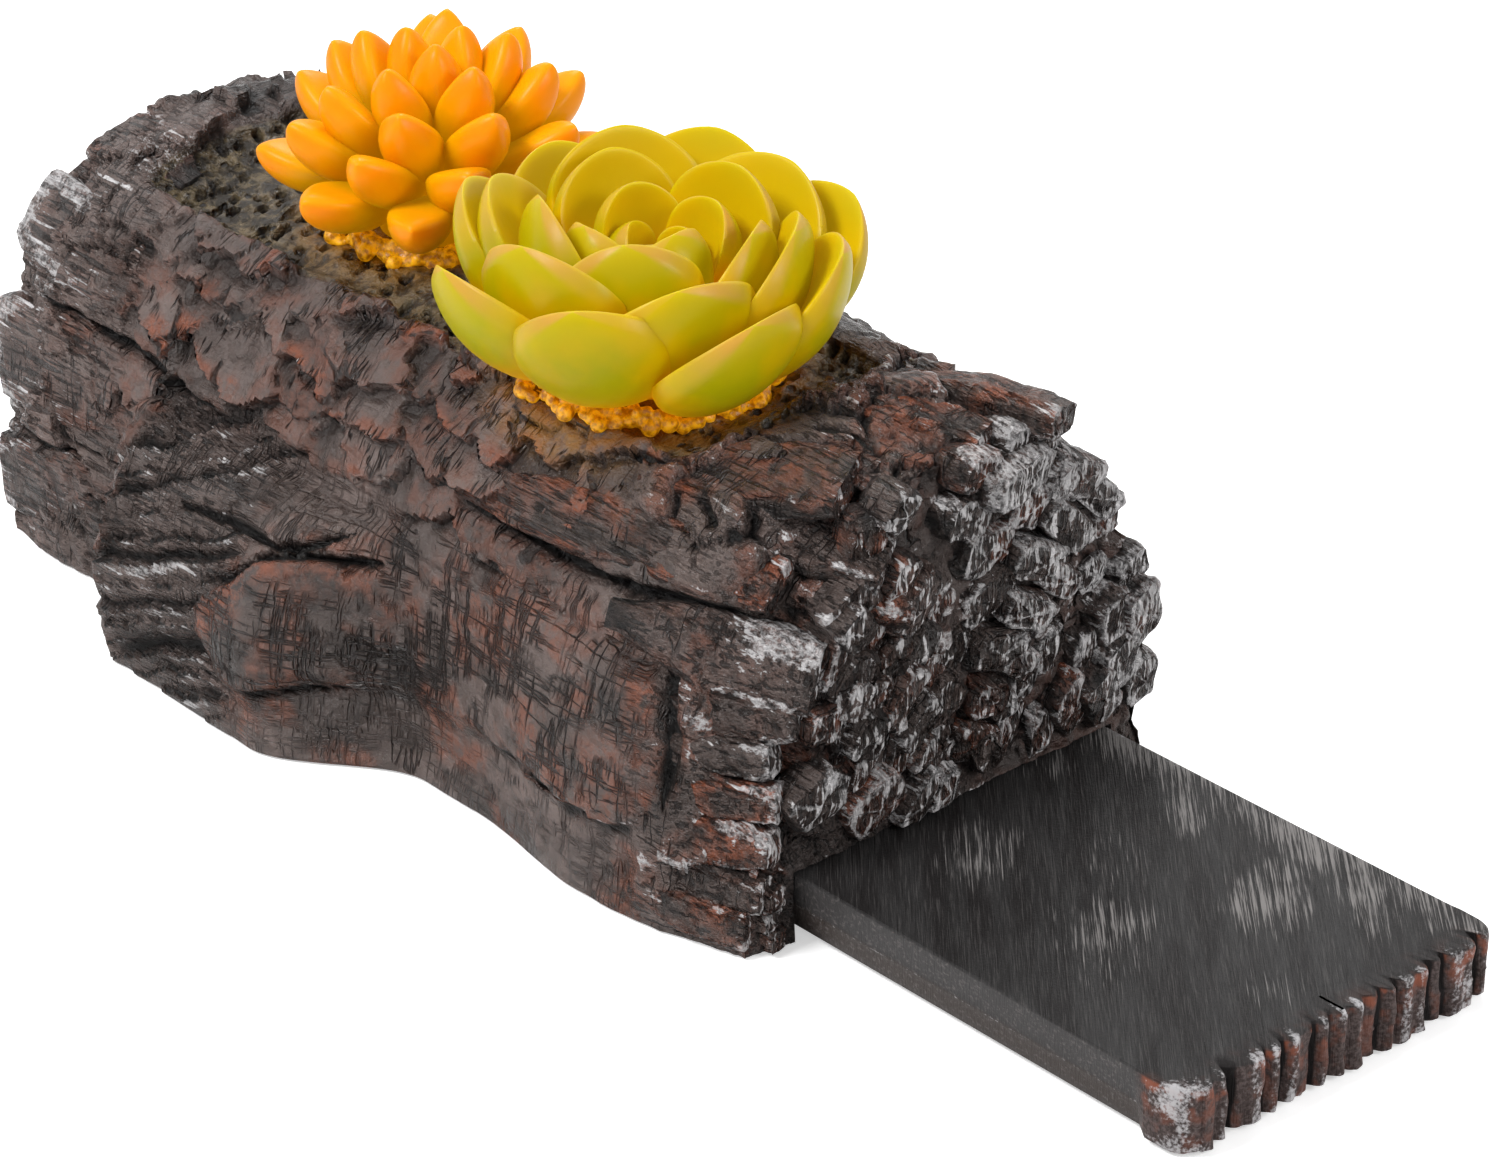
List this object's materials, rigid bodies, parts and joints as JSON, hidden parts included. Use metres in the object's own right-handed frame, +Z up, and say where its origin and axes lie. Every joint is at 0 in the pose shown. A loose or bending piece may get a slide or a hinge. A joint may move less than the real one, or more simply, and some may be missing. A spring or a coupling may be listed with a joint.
{
  "type": "key hider",
  "caption": "Cast split-log garden ornament with lit succulents on top and a plank that slides out from under it to uncover a hidden key compartment.",
  "frame": {"origin": "middle of the log's flat base, on the ground", "axes": "+X along the log the way the plank slides out, +Y towards the solar panel side, +Z up"},
  "size_m": [0.2995, 0.1178, 0.1134],
  "materials": {
    "bark": "cast resin, dry brushed and clear coated",
    "plank": "cast resin, brushed charcoal",
    "green_leaf": "translucent waxy resin",
    "orange_leaf": "translucent waxy resin",
    "amber_resin": "clear amber",
    "led": "clear",
    "red_wire": "insulated",
    "black_wire": "insulated",
    "solar_cell": "epoxy over silicon",
    "board": "solder mask",
    "cell_sleeve": "shrink sleeve",
    "contact_metal": "nickel plated",
    "screw_steel": "zinc plated",
    "seal_rubber": "matt",
    "black_plastic": "moulded",
    "white_plastic": "moulded"
  },
  "bodies": {
    "log": {"log_shell": "bark", "base_frame": "black_plastic", "green_rosette": "green_leaf", "orange_rosette": "orange_leaf", "green_glow_bead": "amber_resin", "orange_glow_bead": "amber_resin", "green_led": "led", "orange_led": "led", "green_led_lead": "red_wire", "orange_led_lead": "red_wire", "solar_panel": "solar_cell", "panel_lead": "black_wire", "circuit_board": "board", "board_parts": "black_plastic", "battery_cell": "cell_sleeve", "spring_contact": "contact_metal", "plate_contact": "contact_metal", "battery_leads": "black_wire", "battery_door": "black_plastic", "door_seal": "seal_rubber", "door_screw": "screw_steel", "switch_body": "black_plastic"},
    "plank": {"key_plank": "plank"},
    "switch": {"switch_knob": "white_plastic"}
  },
  "joints": [
    {"name": "plank_slide", "type": "slide", "parent": "log", "child": "plank", "axis": [1, 0, 0], "range_m": [-0.09, 0.03]},
    {"name": "switch_slide", "type": "slide", "parent": "log", "child": "switch", "axis": [1, 0, 0], "range_m": [0, 0.002]}
  ]
}
